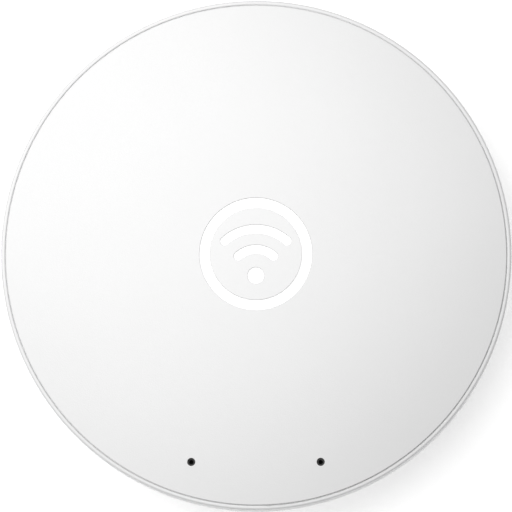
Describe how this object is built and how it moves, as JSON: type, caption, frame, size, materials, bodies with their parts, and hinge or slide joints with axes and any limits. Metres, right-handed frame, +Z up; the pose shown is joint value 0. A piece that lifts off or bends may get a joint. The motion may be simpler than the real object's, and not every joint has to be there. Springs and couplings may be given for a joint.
{
  "type": "streaming media player",
  "caption": "Round white streaming media player: a low puck with a gently domed face, a central wave emblem, microphone ports, rear video and power sockets, a reset button and a foot ring.",
  "frame": {"origin": "on the table, under the middle of the disc", "axes": "+Z up through the face, +Y towards the rear sockets, +X towards the reset button"},
  "size_m": [0.078, 0.078, 0.0135],
  "materials": {
    "cover_white": "satin moulded plastic",
    "shell_white": "satin moulded plastic",
    "button_white": "satin moulded plastic",
    "foot_rubber": "soft matt elastomer",
    "light_diffuser": "polished translucent plastic",
    "emblem_plate": "satin moulded plastic",
    "reflector_white": "matt white",
    "led_package": "clear lens over white package",
    "board_mask": "solder mask",
    "chip_black": "moulded epoxy",
    "thermal_pad": "soft filled silicone",
    "shield_tin": "tinned sheet",
    "spreader_aluminium": "stamped sheet",
    "inductor_ferrite": "ferrite",
    "crystal_can": "plated can",
    "passive_ceramic": "ceramic with tinned ends",
    "plug_gold": "gold-plated",
    "contact_gold": "gold-plated",
    "cable_black": "smooth jacket",
    "antenna_film": "polyimide film over copper",
    "socket_steel": "nickel-plated sheet",
    "socket_black": "moulded insulator",
    "connector_cream": "moulded insulator",
    "microphone_can": "plated lid",
    "mesh_black": "woven acoustic mesh",
    "boot_silicone": "matt silicone",
    "ribbon_film": "amber polyimide film",
    "switch_plunger": "moulded plastic",
    "switch_black": "moulded plastic",
    "screw_steel": "zinc-plated"
  },
  "bodies": {
    "housing": {"front_cover": "cover_white", "base_shell": "shell_white", "foot_ring": "foot_rubber", "light_guide": "light_diffuser", "emblem_plate": "emblem_plate", "light_well": "reflector_white", "status_leds": "led_package", "main_board": "board_mask", "mic_board": "board_mask", "radio_board": "board_mask", "processor_chip": "chip_black", "memory_chips": "chip_black", "flash_chip": "chip_black", "power_chip": "chip_black", "port_guards": "chip_black", "processor_pad": "thermal_pad", "spreader_pad": "thermal_pad", "processor_shield": "shield_tin", "radio_shield": "shield_tin", "heat_spreader": "spreader_aluminium", "power_inductors": "inductor_ferrite", "crystals": "crystal_can", "passives": "passive_ceramic", "coax_sockets": "contact_gold", "coax_plugs": "plug_gold", "antenna_cable_left": "cable_black", "antenna_cable_right": "cable_black", "antenna_left": "antenna_film", "antenna_right": "antenna_film", "video_socket_shell": "socket_steel", "power_socket_shell": "socket_steel", "video_socket_core": "socket_black", "power_socket_core": "socket_black", "ribbon_connector": "connector_cream", "video_socket_contacts": "contact_gold", "power_socket_contacts": "contact_gold", "microphones": "microphone_can", "mic_meshes": "mesh_black", "mic_boots": "boot_silicone", "mic_ribbon": "ribbon_film", "switch_body": "switch_black", "housing_screws": "screw_steel", "board_screws": "screw_steel"},
    "button": {"reset_button": "button_white", "switch_plunger": "switch_plunger"}
  },
  "joints": [
    {"name": "button_press", "type": "slide", "parent": "housing", "child": "button", "axis": [-1, 0, 0], "range_m": [0, 0.0003], "stiffness_N_per_m": 800}
  ]
}
